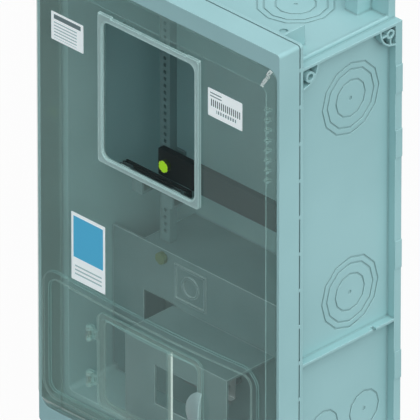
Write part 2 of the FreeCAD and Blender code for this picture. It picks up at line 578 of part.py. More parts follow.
def breaker_door():
    """Door bulged about an upright axis, with a border, an inner rib, hinge loops and a half-round pull."""
    door_front = "(0 - box_depth - cover_rise - door_gap - door_thick)"
    chord = "(door_width/2 - door_rim)"
    radius = "((%s*%s + door_bulge*door_bulge)/(2*door_bulge))" % (chord, chord)
    plate = slab("door_plate", "door_width", "door_height", "door_radius", "door_thick", "0",
                 DOOR_BACK_Y, "door_z")
    swell = slab("door_swell", "door_width - 2*door_rim", "door_height - 2*door_rim",
                 "door_radius - door_rim/2",
                 "door_thick + door_bulge", "0", DOOR_BACK_Y, "door_z")
    drum = rod("door_drum", radius, "door_height", "0", "%s - door_bulge + %s" % (door_front, radius),
               "door_z - door_height/2", "Z")
    bulge = common("door_bulge_solid", swell, drum)
    knuckles = []
    for number, z in enumerate(hinge_heights()):
        knuckles.append(rod("knuckle_%d" % number, "knuckle_radius", "knuckle_length", HINGE_X, HINGE_Y,
                            "%s - knuckle_length/2" % z, "Z"))
        knuckles.append(box("strap_%d" % number, "hinge_reach + door_rim", "door_thick", "knuckle_length",
                            HINGE_X, "%s" % door_front, "%s - knuckle_length/2" % z))
    ball_radius = "((pull_radius*pull_radius + pull_rise*pull_rise)/(2*pull_rise))"
    ball = doc.addObject("Part::Sphere", "pull_ball")
    ball.setExpression("Radius", bound(ball_radius))
    place(ball, "door_width/2", "%s - pull_rise + %s" % (door_front, ball_radius), "door_z - pull_drop")
    half = common("pull_half", ball, mid_box("pull_limits", "2*pull_radius", "door_thick + pull_rise",
                                             "2*pull_radius", "door_width/2 - pull_radius",
                                             "%s - pull_rise" % door_front, "door_z - pull_drop"))
    whole = fuse("door_whole", [plate, bulge, half] + knuckles)
    inner_drum = rod("door_inner_drum", "%s - door_thick" % radius, "door_height", "0",
                     "%s - door_bulge + %s" % (door_front, radius), "door_z - door_height/2", "Z")
    inner_swell = slab("door_inner_swell", "door_width - 2*door_rim - 2*door_thick",
                       "door_height - 2*door_rim - 2*door_thick", "door_radius - door_rim/2",
                       "door_thick + door_bulge",
                       "0", DOOR_BACK_Y, "door_z")
    tools = [common("door_dish", inner_swell, inner_drum)]
    for number, z in enumerate(hinge_heights()):
        tools.append(rod("knuckle_bore_%d" % number, "pin_radius + pin_clearance", "knuckle_length",
                         HINGE_X, HINGE_Y,
                         "%s - knuckle_length/2" % z, "Z"))
        tools.append(mid_box("strap_slot_%d" % number, "strap_slot/2", "2*door_thick + pull_rise",
                             "strap_slot",
                             "%s + knuckle_radius + strap_slot/2" % HINGE_X,
                             "%s - pull_rise" % door_front, z))
    rib = mid_box("door_rib", "door_rib_thick", "door_rib_depth", "door_height - 2*door_lap - 2*door_rib_gap",
                  "door_rib_x", "%s - door_bulge + door_thick" % door_front, "door_z")
    label(fuse("door_ribbed", [cut("door_cut", whole, tools), rib]), "breaker_door")


def window_bezel():
    """Rim on the cover with a stepped inner edge and corner lugs, and hooked legs through the cover."""
    rim = slab("bezel_rim", "window_width", "window_height", "window_corner", "window_rise", "0", COVER_Y,
               "window_z")
    inner_w = "window_width - 2*window_border"
    inner_h = "window_height - 2*window_border"
    opening = slab("bezel_opening", inner_w, inner_h, "window_radius", "window_rise", "0", COVER_Y,
                   "window_z")
    step = slab("bezel_step", "%s + 2*window_step" % inner_w, "%s + 2*window_step" % inner_h,
                "window_radius + window_step", "window_step_depth", "0",
                "%s - window_rise + window_step_depth" % COVER_Y, "window_z")
    seat = slab("bezel_seat", "%s + 2*lens_seat" % inner_w, "%s + 2*lens_seat" % inner_h,
                "window_radius + lens_seat", "lens_thick", "0", COVER_Y, "window_z")
    pieces = [cut("bezel_ring", rim, [opening, step, seat])]
    for tag, sign in SIDES:
        pieces.append(signed_box("bezel_lug_%s" % tag, sign, "lug_length", "window_rise", "lug_rise",
                                 "window_width/2 - lug_length", "%s - window_rise" % COVER_Y,
                                 "window_z + window_height/2"))
        for end, end_sign in ENDS:
            name = "%s_%s" % (tag, end)
            edge = "(window_height/2 - leg_border)"
            pieces.append(mid_box("leg_" + name, "hook_length", "2*cover_wall", "hook_thick",
                                  "%s*hook_x" % sign, COVER_Y,
                                  "window_z + %s*(%s - hook_thick/2)" % (end_sign, edge)))
            pieces.append(mid_box("hook_" + name, "hook_length", "hook_thick", "hook_thick + hook_reach",
                                  "%s*hook_x" % sign, "%s + cover_wall + lip_clearance" % COVER_Y,
                                  "window_z + %s*(%s + (hook_reach - hook_thick)/2)" % (end_sign, edge)))
    label(fuse("bezel_whole", pieces), "window_bezel")


def window_lens():
    label(slab("lens_plate", "window_width - 2*window_border + 2*lens_seat - leg_clearance",
               "window_height - 2*window_border + 2*lens_seat - leg_clearance", "window_radius + lens_seat",
               "lens_thick", "0", COVER_Y, "window_z"), "window_lens")


SHROUD_Y = "(0 - shroud_front)"
SHROUD_W = "(%s - shroud_clearance)" % CAVITY_W


def inner_shroud():
    """Moulded inner cover: shelf, front plate, cable notch, cut-out and a framed round port."""
    height = "shelf_z + %s" % CAVITY_H
    front = mid_box("shroud_plate", "2*%s" % SHROUD_W, "shroud_wall", height, "0", SHROUD_Y,
                    "shelf_z - (%s)/2" % height)
    shelf = mid_box("shroud_shelf", "2*%s" % SHROUD_W,
                    "shroud_front - back_space - back_wall - shroud_clearance",
                    "shroud_wall", "0", SHROUD_Y, "shelf_z - shroud_wall/2")
    frame = cut("port_frame", mid_box("port_outer", "port_width", "port_rise + shroud_wall",
                                      "port_height", "port_x",
                                      "%s - port_rise" % SHROUD_Y, "port_z"),
                [mid_box("port_inner", "port_width - 2*port_band", "port_rise", "port_height - 2*port_band",
                         "port_x", "%s - port_rise" % SHROUD_Y, "port_z")])
    ring = cut("port_ring_solid", rod("port_ring_outer", "port_ring", "port_rise + shroud_wall", "port_x",
                                      "%s - port_rise" % SHROUD_Y, "port_z", "Y"),
               [rod("port_ring_inner", "port_ring - port_band", "port_rise", "port_x",
                    "%s - port_rise" % SHROUD_Y, "port_z", "Y")])
    whole = fuse("shroud_whole", [front, shelf, frame, ring])
    tools = [
        box("shroud_notch", "notch_width", "shroud_front", "2*shroud_wall", "0 - %s" % SHROUD_W,
            "%s + shroud_wall" % SHROUD_Y, "shelf_z - 2*shroud_wall"),
        mid_box("shroud_cutout", "cutout_width", "shroud_wall", "cutout_height", "cutout_x", SHROUD_Y,
                "cutout_z")]
    for tag, sign in SIDES:
        tools.append(signed_box("shroud_corner_%s" % tag, sign, "cavity_radius", "shroud_wall",
                                "cavity_radius",
                                "%s - cavity_radius" % SHROUD_W, SHROUD_Y, "0 - %s" % CAVITY_H))
        tools.append(rod("shroud_hole_%s" % tag, "screw_shank + screw_clearance", "shroud_wall",
                         "%s*screw_x" % sign,
                         SHROUD_Y, "shelf_z - screw_drop", "Y"))
    label(cut("shroud_cut", whole, tools), "inner_shroud")


def thumbscrew(node, x, y, z):
    """Many-sided head with finger grooves round it and a plain shank; y is the seat under the head."""
    face_y = "%s - screw_gap - screw_head_thick" % y
    head = prism(node + "_head", "head_sides", "screw_head", "screw_head_thick", x, face_y, z, "Y")
    shank = rod(node + "_shank", "screw_shank", "screw_length", x,
                "%s - screw_gap - screw_head_thick/2" % y, z, "Y")
    whole = fuse(node + "_whole", [head, shank])
    grooves = []
    for number in range(int(mm("grip_slots"))):
        angle = 2 * math.pi * number / mm("grip_slots")
        grooves.append(prism("%s_groove_%d" % (node, number), "grip_sides", "grip_radius",
                             "screw_head_thick",
                             "%s + screw_head*(%.6f)" % (x, math.cos(angle)), face_y,
                             "%s + screw_head*(%.6f)" % (z, math.sin(angle)), "Y"))
    label(cut(node + "_cut", whole, grooves), node)


def breaker_mask():
    """Plate bent at its top edge, with the breaker cut-out."""
    height = "mask_top + %s" % CAVITY_H
    front = mid_box("mask_plate", "mask_width", "mask_thick", height, "0", "0 - mask_front",
                    "mask_top - (%s)/2" % height)
    top = mid_box("mask_return", "mask_width", "mask_front - shroud_front", "mask_thick", "0",
                  "0 - mask_front",
                  "mask_top - mask_thick/2")
    hole = mid_box("mask_hole", "breaker_width", "mask_thick", "breaker_height", "0", "0 - mask_front",
                   "breaker_z")
    label(cut("mask_cut", fuse("mask_whole", [front, top]), [hole]), "breaker_mask")


def din_rail():
    """Top-hat rail: a web set back by the rail depth, two side walls and two outer lips."""
    pieces = [mid_box("hat_web", "rail_length", "rail_thick", "rail_web", "0",
                      "rail_depth - rail_thick - rail_front", "breaker_z")]
    for end, end_sign in ENDS:
        level = "breaker_z + %s*(rail_web/2 - rail_thick/2)" % end_sign
        pieces.append(mid_box("hat_side_%s" % end, "rail_length", "rail_depth", "rail_thick", "0",
                              "0 - rail_front", level))
        lip = "breaker_z + %s*(rail_height/4 + rail_web/4 - rail_thick/4)" % end_sign
        pieces.append(mid_box("hat_lip_%s" % end, "rail_length", "rail_thick",
                              "(rail_height - rail_web + rail_thick)/2", "0", "0 - rail_front", lip))
    holes = [rod("hat_hole_%s" % tag, "rail_screw_shank", "rail_thick", "%s*spacer_x" % sign,
                 "rail_depth - rail_thick - rail_front", "breaker_z", "Y") for tag, sign in SIDES]
    label(cut("hat_cut", fuse("hat_whole", pieces), holes), "din_rail")


def din_rail_fixings():
    """Six-sided spacers between rail and shroud, and the screw heads that hold the rail to them."""
    web_y = "rail_depth - rail_front"
    spacers = []
    screws = []
    for tag, sign in SIDES:
        x = "%s*spacer_x" % sign
        spacers.append(prism("spacer_%s" % tag, "spacer_sides", "spacer_radius",
                             "rail_front - rail_depth - shroud_front", x, web_y, "breaker_z", "Y"))
        shank = rod("rail_screw_%s" % tag, "rail_screw_shank", "rail_thick", x, "%s - rail_thick" % web_y,
                    "breaker_z", "Y")
        head = prism("rail_screw_head_%s" % tag, "spacer_sides", "rail_screw_head", "rail_screw_head/2", x,
                   "%s - rail_thick - rail_screw_head/2" % web_y, "breaker_z", "Y")
        screws.append(fuse("rail_screw_whole_%s" % tag, [shank, head]))
    for name, pieces, node in (("spacer_group", spacers, "din_rail_spacers"),
                               ("rail_screw_group", screws, "din_rail_screws")):
        group = doc.addObject("Part::Compound", name)
        group.Links = pieces
        label(group, node)


def meter_rail(tag, sign):
    """Upright channel, open to the back, with a row of square holes down its front."""
    height = "%s - shelf_z" % CAVITY_H
    block = box("rail_block_%s" % tag, "post_rail_width", "post_rail_depth", height,
                "%s*post_rail_x - post_rail_width/2" % sign, "0 - post_rail_front", "shelf_z")
    groove = box("rail_groove_%s" % tag, "post_rail_width - 2*post_rail_wall",
                 "post_rail_depth - post_rail_wall",
                 height, "%s*post_rail_x - post_rail_width/2 + post_rail_wall" % sign,
                 "post_rail_wall - post_rail_front", "shelf_z")
    run = mm("box_height") / 2 - mm("end_inset") - mm("wall") - mm("shelf_z") - 2 * mm("hole_margin")
    count = int(run / mm("hole_pitch")) + 1
    holes = [mid_box("rail_hole_%s_%d" % (tag, number), "hole_side", "post_rail_wall", "hole_side",
                     "%s*post_rail_x" % sign, "0 - post_rail_front",
                     "shelf_z + hole_margin + %d*hole_pitch" % number) for number in range(count)]
    label(cut("rail_cut_%s" % tag, block, [groove] + holes), "meter_rail_%s" % tag)


CROSSBAR_Y = "(0 - post_rail_front - slide_clearance - crossbar_depth)"


def meter_crossbar():
    """Channel bar open to the back, with a thumbscrew hole near each end."""
    bar = mid_box("crossbar_block", "2*crossbar_half", "crossbar_depth", "crossbar_height", "0", CROSSBAR_Y,
                  "crossbar_z")
    hollow = mid_box("crossbar_hollow", "2*crossbar_half - 2*crossbar_wall",
                     "crossbar_depth - crossbar_wall",
                     "crossbar_height - 2*crossbar_wall", "0", "%s + crossbar_wall" % CROSSBAR_Y,
                     "crossbar_z")
    holes = [rod("crossbar_hole_%s" % tag, "screw_shank + screw_clearance", "crossbar_depth",
                 "%s*knob_x" % sign,
                 CROSSBAR_Y, "crossbar_z", "Y") for tag, sign in SIDES]
    label(cut("crossbar_cut", bar, [hollow] + holes), "meter_crossbar")


def clamp_plate(tag, sign):
    """Plate behind the rail that the thumbscrew pulls forwards."""
    inner = "knob_x - screw_head"
    plate = signed_box("clamp_block_%s" % tag, sign, "clamp_length", "clamp_thick", "clamp_height", inner,
                       "post_rail_depth + slide_clearance - post_rail_front", "crossbar_z - clamp_height/2")
    hole = rod("clamp_hole_%s" % tag, "screw_shank + screw_clearance", "clamp_thick", "%s*knob_x" % sign,
               "post_rail_depth + slide_clearance - post_rail_front", "crossbar_z", "Y")
    label(cut("clamp_cut_%s" % tag, plate, [hole]), "clamp_plate_%s" % tag)


def meter_shelf():
    """Ribbed tray, open below, on the upturned ends of two arms under the crossbar."""
    foot = "crossbar_z - crossbar_height/2 - arm_thick"
    seat = "%s + arm_thick + tray_lift" % foot
    for tag in ("left", "right"):
        start = "arm_%s_x - arm_width/2" % tag
        strip = box("arm_strip_%s" % tag, "arm_width", "arm_front - post_rail_front - slide_clearance",
                    "arm_thick", start, "0 - arm_front", foot)
        leg = box("arm_leg_%s" % tag, "arm_width", "arm_thick", "arm_thick + tray_lift", start,
                  "0 - arm_front", foot)
        label(fuse("arm_%s" % tag, [strip, leg]), "shelf_arm_%s" % tag)
    tray = mid_box("tray_block", "tray_length", "tray_depth", "tray_height", "tray_x", "0 - arm_front",
                   "%s + tray_height/2" % seat)
    ribs = [mid_box("tray_rib_%d" % number, "tray_length", "tray_rib_width", "tray_rib", "tray_x",
                    "%d*tray_depth/3 - arm_front + tray_depth/6 - tray_rib_width/2" % number,
                    "%s + tray_height + tray_rib/2" % seat) for number in range(3)]
    hollow = mid_box("tray_hollow", "tray_length - 2*tray_wall", "tray_depth - 2*tray_wall",
                     "tray_height - tray_wall",
                     "tray_x", "tray_wall - arm_front", "%s + (tray_height - tray_wall)/2" % seat)
    label(cut("tray_cut", fuse("tray_whole", [tray] + ribs), [hollow]), "meter_shelf")


def check_and_export():
    """Stop on any failed object, then write one file for each sub-part."""
    doc.recompute()
    for obj in doc.Objects:
        if "Invalid" in obj.State or "Error" in obj.State:
            raise RuntimeError("failed object: %s %s" % (obj.Name, obj.State))
    os.makedirs("parts", exist_ok=True)
    for obj in NODES:
        if obj.Shape.isNull() or not obj.Shape.isValid():
            raise RuntimeError("bad shape: %s" % obj.Label)
        obj.Shape.exportStep("parts/%s.step" % obj.Label)


base_box()
front_frame()
lid_seal()
main_cover()
door_hinge_pins()
breaker_door()
window_bezel()
window_lens()
inner_shroud()
breaker_mask()
din_rail()
din_rail_fixings()
meter_crossbar()
meter_shelf()
for side, way in SIDES:
    meter_rail(side, way)
    clamp_plate(side, way)
    thumbscrew("shroud_thumbscrew_%s" % side, "%s*screw_x" % way, SHROUD_Y, "shelf_z - screw_drop")
    thumbscrew("crossbar_thumbscrew_%s" % side, "%s*knob_x" % way, CROSSBAR_Y, "crossbar_z")
check_and_export()
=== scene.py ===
import math

import bpy
import numpy as np
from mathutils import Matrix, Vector


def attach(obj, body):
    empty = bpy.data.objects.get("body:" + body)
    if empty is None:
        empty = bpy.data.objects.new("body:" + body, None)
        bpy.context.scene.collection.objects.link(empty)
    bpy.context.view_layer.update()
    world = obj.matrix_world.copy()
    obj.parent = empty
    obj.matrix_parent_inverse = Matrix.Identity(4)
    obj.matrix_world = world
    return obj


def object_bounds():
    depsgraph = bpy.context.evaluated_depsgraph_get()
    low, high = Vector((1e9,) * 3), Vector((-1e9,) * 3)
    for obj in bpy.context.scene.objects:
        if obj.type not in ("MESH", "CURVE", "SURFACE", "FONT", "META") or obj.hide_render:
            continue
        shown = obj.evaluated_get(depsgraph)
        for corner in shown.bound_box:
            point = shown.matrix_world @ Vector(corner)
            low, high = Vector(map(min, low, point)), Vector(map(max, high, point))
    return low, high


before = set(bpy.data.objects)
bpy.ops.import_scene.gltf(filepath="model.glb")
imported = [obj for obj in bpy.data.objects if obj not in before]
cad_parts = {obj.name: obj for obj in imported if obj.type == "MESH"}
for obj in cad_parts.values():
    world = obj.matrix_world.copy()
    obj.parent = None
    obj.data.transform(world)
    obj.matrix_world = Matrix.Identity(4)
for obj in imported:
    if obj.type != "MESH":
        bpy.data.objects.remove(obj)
cad_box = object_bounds()

MM = 0.001
WHITE = (1.0, 1.0, 1.0, 1.0)


def face_corners(node):
    """Corners of each triangle of a CAD node in millimetres, as an array (faces, 3 corners, 3 axes)."""
    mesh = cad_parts[node].data
    corners = np.array([vertex.co for vertex in mesh.vertices]) / MM
    return corners[np.array([face.vertices[:] for face in mesh.polygons])]


# Places in millimetres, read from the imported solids: the pane's back lies on the face of the cover
COVER_FACE_Y = face_corners("window_lens")[:, :, 1].max()
FRAME_LEFT_X = face_corners("front_frame")[:, :, 0].min()
FRAME_TOP_Z = face_corners("front_frame")[:, :, 2].max()

# Pattern sizes in millimetres; the real grain and tooth are finer, and are drawn this coarse to show
CLOUD_MM = 120.0
GRAIN_MM = 2.0
GRAIN_HEIGHT_MM = 0.05
GROOVE_MM = 4.0
HAZE_CLOUD_MM = 90.0
RIM_MM = 1.8
DRAWN_LINE_MM = 4.0
DRAWN_STRETCH = (1.0, 12.0, 12.0)
BLOOM_MM = 6.0
TOOTH_MM = 1.5
# Range in which most values of a noise lie
NOISE_LOW = 0.3
NOISE_HIGH = 0.7


def linear(code):
    """sRGB hex to linear red, green, blue and full alpha: the power curve with its straight foot."""
    parts = [int(code[i:i + 2], 16) / 255.0 for i in (1, 3, 5)]
    curve = [p / 12.92 if p <= 0.04045 else ((p + 0.055) / 1.055) ** 2.4 for p in parts]
    return (*curve, 1.0)


def add(tree, kind, settings=None, **inputs):
    """Adds one node: settings go on the node, and each input gets a value or a link from another socket.

    An input is given by its name, with _ for a space, or by its number, as i0, i1 and so on.
    """
    node = tree.nodes.new(kind)
    for name, value in (settings or {}).items():
        setattr(node, name, value)
    for name, value in inputs.items():
        key = int(name[1:]) if name[0] == "i" and name[1:].isdigit() else name.replace("_", " ")
        if isinstance(value, bpy.types.NodeSocket):
            tree.links.new(value, node.inputs[key])
        else:
            node.inputs[key].default_value = value
    return node


def new_material(name):
    """Empty node material and its tree."""
    material = bpy.data.materials.new(name)
    material.use_nodes = True
    material.node_tree.nodes.clear()
    return material, material.node_tree


def close(tree, shader):
    """Ends a material's tree with its surface."""
    add(tree, "ShaderNodeOutputMaterial", Surface=shader)


def edge_turn(tree, edge_mm):
    """Normal rounded over edges, and how far it points along the face: 1 on flats, less near an edge."""
    bend = add(tree, "ShaderNodeBevel", {"samples": 6}, Radius=edge_mm * MM)
    flat = add(tree, "ShaderNodeNewGeometry").outputs["True Normal"]
    turn = add(tree, "ShaderNodeVectorMath", {"operation": "DOT_PRODUCT"}, i0=bend.outputs["Normal"],
               i1=flat)
    return bend.outputs["Normal"], turn.outputs["Value"]


def moulded(name, colour, pale, rough, edge_mm, groove, index, glow=0.0):
    """Satin moulded plastic: a slow change of tone, fine grain, a painted highlight in the pale colour on
    rounded edges, painted shade in grooves, and a painted glow of its own colour where glow is given.
    """
    material, tree = new_material(name)
    spot = add(tree, "ShaderNodeTexCoord").outputs["Object"]
    cloud = add(tree, "ShaderNodeTexNoise", Vector=spot, Scale=1.0 / (CLOUD_MM * MM), Detail=2.0)
    grain = add(tree, "ShaderNodeTexNoise", Vector=spot, Scale=1.0 / (GRAIN_MM * MM), Detail=3.0)
    tone = add(tree, "ShaderNodeMapRange", Value=cloud.outputs["Fac"], From_Min=NOISE_LOW,
               From_Max=NOISE_HIGH, To_Min=0.0, To_Max=0.16)
    rounded, turned = edge_turn(tree, edge_mm)
    # Painted highlight: rounded edges are mixed towards the pale colour
    edge = add(tree, "ShaderNodeMapRange", Value=turned, From_Min=0.99, From_Max=0.80, To_Min=0.0,
               To_Max=0.85)
    share = add(tree, "ShaderNodeMath", {"operation": "MAXIMUM"}, i0=tone.outputs["Result"],
                i1=edge.outputs["Result"])
    base = add(tree, "ShaderNodeMix", {"data_type": "RGBA"}, Factor=share.outputs["Value"],
               i6=linear(colour), i7=linear(pale))
    # Painted shade: ambient occlusion darkens grooves, creases and joints, down to the groove factor
    shade = add(tree, "ShaderNodeAmbientOcclusion", {"samples": 8}, Distance=GROOVE_MM * MM)
    depth = add(tree, "ShaderNodeMapRange", Value=shade.outputs["AO"], From_Min=0.35, From_Max=0.9,
                To_Min=groove, To_Max=1.0)
    tone_and_painted_light = add(tree, "ShaderNodeVectorMath", {"operation": "SCALE"}, i0=base.outputs[2],
               Scale=depth.outputs["Result"])
    bump = add(tree, "ShaderNodeBump", Strength=0.12, Distance=GRAIN_HEIGHT_MM * MM,
               Height=grain.outputs["Fac"], Normal=rounded)
    sheen = add(tree, "ShaderNodeMapRange", Value=grain.outputs["Fac"], From_Min=NOISE_LOW,
                From_Max=NOISE_HIGH, To_Min=rough - 0.05, To_Max=rough + 0.06)
    # Painted glow: the colour is also given out as light, at the strength of glow
    body = add(tree, "ShaderNodeBsdfPrincipled", Base_Color=tone_and_painted_light.outputs["Vector"],
               Roughness=sheen.outputs["Result"], IOR=index, Normal=bump.outputs["Normal"],
               Emission_Color=tone_and_painted_light.outputs["Vector"], Emission_Strength=glow)
    close(tree, body.outputs["BSDF"])
    return material


def see_through(name, tint, haze, haze_share, rim_share, index, rough):
    """Clear plastic: tinted light passes, a share scatters, more at rims as a painted highlight, and it
    mirrors by angle.
    """
    material, tree = new_material(name)
    spot = add(tree, "ShaderNodeTexCoord").outputs["Object"]
    cloud = add(tree, "ShaderNodeTexNoise", Vector=spot, Scale=1.0 / (HAZE_CLOUD_MM * MM), Detail=3.0)
    share = add(tree, "ShaderNodeMapRange", Value=cloud.outputs["Fac"], From_Min=NOISE_LOW,
                From_Max=NOISE_HIGH, To_Min=haze_share * 0.92, To_Max=haze_share * 1.08)
    # Painted highlight: more scatter near the rims, which pales them
    turned = edge_turn(tree, RIM_MM)[1]
    rim = add(tree, "ShaderNodeMapRange", Value=turned, From_Min=0.996, From_Max=0.94, To_Min=0.0,
              To_Max=rim_share)
    most = add(tree, "ShaderNodeMath", {"operation": "MAXIMUM"}, i0=share.outputs["Result"],
               i1=rim.outputs["Result"])
    passed = add(tree, "ShaderNodeBsdfTransparent", Color=linear(tint))
    scatter = add(tree, "ShaderNodeBsdfDiffuse", Color=linear(haze))
    mixed = add(tree, "ShaderNodeMixShader", Fac=most.outputs["Value"], i1=passed.outputs["BSDF"],
                i2=scatter.outputs["BSDF"])
    mirror = add(tree, "ShaderNodeFresnel", IOR=index)
    behind = add(tree, "ShaderNodeNewGeometry").outputs["Backfacing"]
    outside = add(tree, "ShaderNodeMath", {"operation": "SUBTRACT"}, i0=1.0, i1=behind)
    shine = add(tree, "ShaderNodeMath", {"operation": "MULTIPLY"}, i0=mirror.outputs["Fac"],
                i1=outside.outputs["Value"])
    gloss = add(tree, "ShaderNodeBsdfGlossy", Roughness=rough)
    whole = add(tree, "ShaderNodeMixShader", Fac=shine.outputs["Value"], i1=mixed.outputs["Shader"],
                i2=gloss.outputs["BSDF"])
    close(tree, whole.outputs["Shader"])
    return material


def plated_steel(name, colour):
    """Zinc-plated steel: cool metal with fine drawn lines and a mottled sheen."""
    material, tree = new_material(name)
    spot = add(tree, "ShaderNodeTexCoord").outputs["Object"]
    drawn = add(tree, "ShaderNodeMapping", Vector=spot, Scale=DRAWN_STRETCH)
    lines = add(tree, "ShaderNodeTexNoise", Vector=drawn.outputs["Vector"],
                Scale=1.0 / (DRAWN_LINE_MM * MM), Detail=4.0)
    rough = add(tree, "ShaderNodeMapRange", Value=lines.outputs["Fac"], From_Min=NOISE_LOW,
                From_Max=NOISE_HIGH, To_Min=0.28, To_Max=0.45)
    body = add(tree, "ShaderNodeBsdfPrincipled", Base_Color=linear(colour), Metallic=1.0,
               Roughness=rough.outputs["Result"])
    close(tree, body.outputs["BSDF"])
    return material


def soft_rubber(name, colour):
    """Matt seal rubber: one colour with a powdery, uneven bloom."""
    material, tree = new_material(name)
    spot = add(tree, "ShaderNodeTexCoord").outputs["Object"]
    bloom = add(tree, "ShaderNodeTexNoise", Vector=spot, Scale=1.0 / (BLOOM_MM * MM), Detail=3.0)
    rough = add(tree, "ShaderNodeMapRange", Value=bloom.outputs["Fac"], To_Min=0.65, To_Max=0.9)
    body = add(tree, "ShaderNodeBsdfPrincipled", Base_Color=linear(colour),
               Roughness=rough.outputs["Result"])
    close(tree, body.outputs["BSDF"])
    return material


# Moulded grey-green polycarbonate of tub and frame: even and satin, with a painted highlight on rounded
# edges and painted shade in grooves
housing = moulded("moulded_polycarbonate_grey", "#91babb", "#bfe9eb", rough=0.48, edge_mm=0.9, groove=0.6,
                  index=1.5)
# Inner mouldings: the same grey darkened as painted shade for the space behind the cover, with a strong
# painted highlight on their edges
inner = moulded("moulded_inner_grey", "#5c7f81", "#e0fbfa", rough=0.5, edge_mm=1.3, groove=0.85, index=1.4)
# Meter support: a deeper grey as painted shade for the shade of the tub, with a faint painted highlight on
# its edges
support = moulded("moulded_support_grey", "#688a8b", "#8cafaf", rough=0.5, edge_mm=0.5, groove=0.85,
                  index=1.3)
# Black glass-filled nylon: dark and slightly shiny, with a greyish painted highlight on its edges
black = moulded("moulded_nylon_black", "#080f12", "#22343a", rough=0.5, edge_mm=0.5, groove=0.6, index=1.22)
# Green acetal of the crossbar's thumbscrews, with a painted glow that keeps it bright in the shade of the
# tub
green = moulded("moulded_acetal_green", "#b0ec00", "#dcff66", rough=0.35, edge_mm=0.6, groove=0.7,
                index=1.35, glow=0.45)
# The same acetal on the flanks of those heads, darkened to a deep green as painted shade
green_flank_shade = moulded("acetal_green_flank_painted_shade", "#33480c", "#4f6b1a", rough=0.45, edge_mm=0.3, groove=0.5,
                     index=1.35)
# The same green acetal on the shroud's thumbscrews, darkened to a dull olive as painted shade under the
# cover
green_screws_shade = moulded("acetal_green_painted_shade", "#5c7240", "#7c9460", rough=0.5, edge_mm=0.5, groove=0.5,
                index=1.35)
# Painted highlight for the edge of the door's rib: a nearly white strip with a painted glow
rib_highlight = moulded("painted_highlight_rib_edge", "#ecfffa", "#ffffff", rough=0.2, edge_mm=0.3, groove=1.0,
                   index=1.5, glow=0.3)
# Smoked polycarbonate: veils what is behind it, paler along its rims as a painted highlight, with a faint
# mirror at an angle
smoke = see_through("smoked_polycarbonate", "#fdfdfb", "#9bc2bd", haze_share=0.095, rim_share=0.55,
                    index=1.3, rough=0.06)
# Frosted clear polycarbonate of the window rim: half lets the inside through, with a bright painted
# highlight at its edges
frosted = see_through("frosted_polycarbonate", "#fffdfc", "#bfdedb", haze_share=0.45, rim_share=0.9,
                      index=1.4, rough=0.15)
# Clear polycarbonate of the door's rib flank: a paler veil than the smoke round it, as painted light
rib_flank_light = see_through("polycarbonate_rib_painted_light", "#fffdfc", "#d5eee8", haze_share=0.5, rim_share=0.6,
                     index=1.3, rough=0.06)
# Clear polycarbonate of the pane and of the rim's legs behind it: almost unseen
clear = see_through("clear_polycarbonate", "#f4f4f4", "#8fb4b0", haze_share=0.015, rim_share=0.3,
                    index=1.1, rough=0.05)
# Zinc-plated steel of the top-hat rail and its screws: cool and bright, with drawn lines
steel = plated_steel("zinc_plated_steel", "#8f9799")
# Seal rubber in the tone of the housing: matt, so that the seam reads as a soft line
rubber = soft_rubber("seal_rubber", "#7f9fa1")

CROSSBAR_KNOBS = ["crossbar_thumbscrew_left", "crossbar_thumbscrew_right"]


def dress(nodes, material):
    """Gives CAD nodes one material in place of their own."""
    for node in nodes:
        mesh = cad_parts[node].data
        mesh.materials.clear()
        mesh.materials.append(material)


dress(["base_box", "front_frame"], housing)
dress(["inner_shroud", "breaker_mask"], inner)
dress(["meter_rail_left", "meter_rail_right", "clamp_plate_left", "clamp_plate_right", "shelf_arm_left",
       "shelf_arm_right"], support)
dress(["window_bezel"], frosted)
dress(["meter_crossbar", "meter_shelf", "din_rail_spacers"], black)
dress(CROSSBAR_KNOBS, green)
# Painted shade: the shroud's thumbscrews take the darker green
dress(["shroud_thumbscrew_left", "shroud_thumbscrew_right"], green_screws_shade)
dress(["main_cover", "breaker_door", "door_hinge_pins"], smoke)
dress(["window_lens"], clear)
dress(["din_rail", "din_rail_screws"], steel)
dress(["lid_seal"], rubber)

# Door's pull in millimetres, as modelled: radius of its outline and rise of its ball
PULL_RADIUS = 25.0
PULL_RISE = 5.0
# How near in millimetres a corner counts as on a plane or on the ball, and how far as off or behind it
ON_PLANE = 0.01
ON_BALL = 0.05
OFF_PLANE = 0.05
BEHIND = 0.1


def refinish(node, chosen, material):
    """Another material on the chosen faces of a CAD node."""
    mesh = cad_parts[node].data
    mesh.materials.append(material)
    index = np.array([face.material_index for face in mesh.polygons])
    index[chosen] = len(mesh.materials) - 1
    mesh.polygons.foreach_set("material_index", index)


def on_pull():
    """Faces on the ball of the door's pull: all corners one ball radius from the ball's centre."""
    ball = (PULL_RADIUS ** 2 + PULL_RISE ** 2) / (2 * PULL_RISE)
    corners = face_corners("breaker_door")
    flat = corners.reshape(-1, 3)
    centre = flat[flat[:, 1].argmin()] + np.array([0.0, ball, 0.0])
    return np.all(np.abs(np.linalg.norm(corners - centre, axis=2) - ball) < ON_BALL, axis=1)


def rib_rear_edge():
    """Corners of the door's rearmost edge, which is the rear of its rib."""
    corners = face_corners("breaker_door").reshape(-1, 3)
    return corners[corners[:, 1] > corners[:, 1].max() - ON_PLANE]


def on_rib():
    """Faces on the right flank of the door's rib: all corners as far right as the rear edge reaches."""
    right = rib_rear_edge()[:, 0].max()
    return np.all(np.abs(face_corners("breaker_door")[:, :, 0] - right) < ON_PLANE, axis=1)


def behind_cover():
    """Faces of the window rim's legs and hooks: nothing before the cover's face, something behind it."""
    depth = face_corners("window_bezel")[:, :, 1]
    return (depth.min(axis=1) > COVER_FACE_Y - ON_PLANE) & (depth.max(axis=1) > COVER_FACE_Y + BEHIND)


def off_front(node):
    """Faces that do not lie in a piece's foremost plane."""
    depth = face_corners(node)[:, :, 1]
    return depth.max(axis=1) > depth.min() + OFF_PLANE


